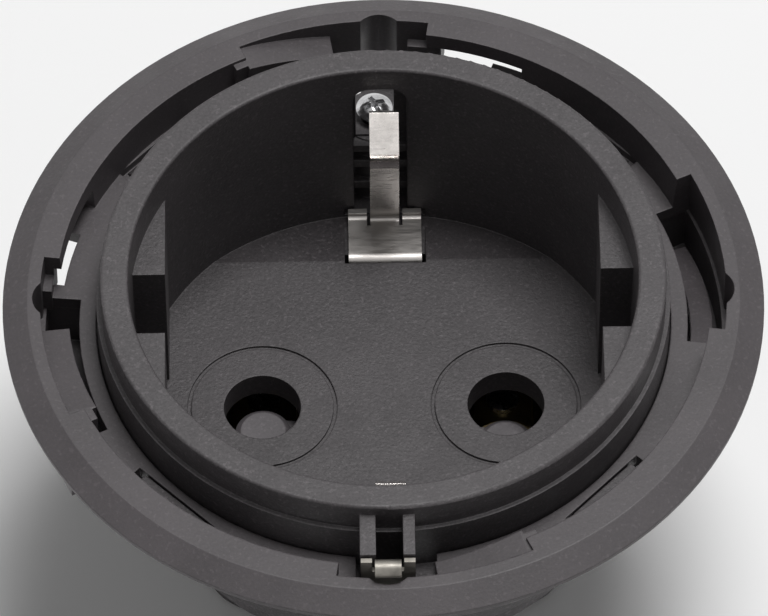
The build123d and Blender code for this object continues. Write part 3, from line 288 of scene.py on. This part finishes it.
finishes = {
    "socket_body": body_plastic,
    "bayonet_ring": ring_plastic,
    "rear_housing": housing_plastic,
    "shutter": pad_plastic,
    "shutter_spring": dull_metal,
    "earth_bracket": clip_metal,
    "bonding_spring": dull_metal,
    "line_contact_spring": dull_metal,
    "neutral_contact_spring": dull_metal,
    "earth_link": brass,
    "line_contact": brass,
    "neutral_contact": brass,
    "line_terminal": terminal_brass,
    "earth_terminal": terminal_brass,
    "neutral_terminal": terminal_brass,
    "strap_rivets": zinc,
    "foot_rivets": zinc,
    "terminal_screws": zinc,
    "housing_screws": zinc,
    "front_screw": bright_zinc,
}
for node_name, finish in finishes.items():
    paint(node_name, finish)


# Rib on the boss

def add_mesh(name, corners, faces, material):
    """Adds a mesh object of one material."""
    mesh = bpy.data.meshes.new(name)
    mesh.from_pydata(corners, [], faces)
    mesh.materials.append(material)
    piece = bpy.data.objects.new(name, mesh)
    bpy.context.collection.objects.link(piece)
    return piece


def add_boss_rib():
    """Short tapered rib on the outside of the front screw's boss."""
    outline = [
        (RIB_INNER, RIB_TOP),
        (RIB_OUTER, RIB_TOP),
        (RIB_OUTER, RIB_OUTER_FOOT),
        (RIB_INNER, RIB_INNER_FOOT),
    ]
    corners = [(x, y, z) for x in (RIB_LEFT, RIB_RIGHT) for y, z in outline]
    count = len(outline)
    faces = [tuple(range(count)), tuple(reversed(range(count, 2 * count)))]
    for here in range(count):
        after = (here + 1) % count
        faces.append((here + count, after + count, after, here))
    rib = add_mesh("boss_rib", corners, faces, body_plastic)
    rounding = rib.modifiers.new("rounding", "BEVEL")
    rounding.width = RIB_ROUNDING
    rounding.segments = RIB_ROUNDING_STEPS
    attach(rib, "socket")


# Stage

def add_floor():
    """Large white floor under the socket's flat back."""
    material = bpy.data.materials.new("floor_white")
    material.use_nodes = True
    shader = material.node_tree.nodes["Principled BSDF"]
    shader.inputs["Base Color"].default_value = FLOOR_WHITE
    shader.inputs["Roughness"].default_value = FLOOR_ROUGHNESS
    lowest = cad_bounds[0][2]
    sides = [(-1, -1), (1, -1), (1, 1), (-1, 1)]
    corners = [(x * FLOOR_REACH, y * FLOOR_REACH, lowest) for x, y in sides]
    floor = add_mesh("floor", corners, [(0, 1, 2, 3)], material)


def add_world():
    """Even surroundings: a weak light on the object, white to the camera and in reflections."""
    world = bpy.data.worlds.new("surroundings")
    world.use_nodes = True
    bpy.context.scene.world = world
    tree = world.node_tree
    background = tree.nodes["Background"]
    background.inputs["Color"].default_value = (1.0, 1.0, 1.0, 1.0)
    path = tree.nodes.new("ShaderNodeLightPath")
    seen = path.outputs["Is Camera Ray"]
    for kind in ("Is Glossy Ray", "Is Transmission Ray"):
        total = tree.nodes.new("ShaderNodeMath")
        total.operation = "ADD"
        tree.links.new(seen, total.inputs[0])
        tree.links.new(path.outputs[kind], total.inputs[1])
        seen = total.outputs[0]
    strength = tree.nodes.new("ShaderNodeMapRange")
    strength.inputs["To Min"].default_value = AMBIENT_LIGHT
    strength.inputs["To Max"].default_value = SEEN_LIGHT
    tree.links.new(seen, strength.inputs["Value"])
    tree.links.new(strength.outputs["Result"], background.inputs["Strength"])


def add_lamp():
    """Square soft light above the socket, which faces it."""
    lamp = bpy.data.lights.new("overhead", "AREA")
    lamp.size = LAMP_SIZE
    lamp.energy = LAMP_WATTS
    holder = bpy.data.objects.new("overhead", lamp)
    holder.location = LAMP_PLACE
    aim = -Vector(LAMP_PLACE)
    holder.rotation_euler = aim.to_track_quat("-Z", "Y").to_euler()
    bpy.context.collection.objects.link(holder)


def add_camera():
    """Camera that frames the socket as the photograph does."""
    azimuth = math.radians(CAMERA_AZIMUTH)
    elevation = math.radians(CAMERA_ELEVATION)
    roll = math.radians(CAMERA_ROLL)
    back = Vector((
        math.sin(azimuth) * math.cos(elevation),
        -math.cos(azimuth) * math.cos(elevation),
        math.sin(elevation),
    ))
    level = Vector((math.cos(azimuth), math.sin(azimuth), 0.0))
    upright = back.cross(level)
    right = level * math.cos(roll) + upright * math.sin(roll)
    up = upright * math.cos(roll) - level * math.sin(roll)
    data = bpy.data.cameras.new("camera")
    data.sensor_fit = "HORIZONTAL"
    data.sensor_width = SENSOR_MILLIMETRES
    data.lens = FOCAL_PIXELS / IMAGE_WIDTH * SENSOR_MILLIMETRES
    data.shift_x = (IMAGE_WIDTH / 2 - RIM_PIXEL[0]) / IMAGE_WIDTH
    data.shift_y = (RIM_PIXEL[1] - IMAGE_HEIGHT / 2) / IMAGE_WIDTH
    data.clip_start = CAMERA_NEAREST
    data.clip_end = CAMERA_FARTHEST
    camera = bpy.data.objects.new("camera", data)
    turn = Matrix((right, up, back)).transposed().to_4x4()
    place = Vector((0, 0, RIM_TOP)) + back * CAMERA_DISTANCE
    camera.matrix_world = Matrix.Translation(place) @ turn
    bpy.context.collection.objects.link(camera)
    bpy.context.scene.camera = camera


add_boss_rib()
add_floor()
add_world()
add_lamp()
add_camera()
bpy.context.scene.view_settings.view_transform = "Standard"
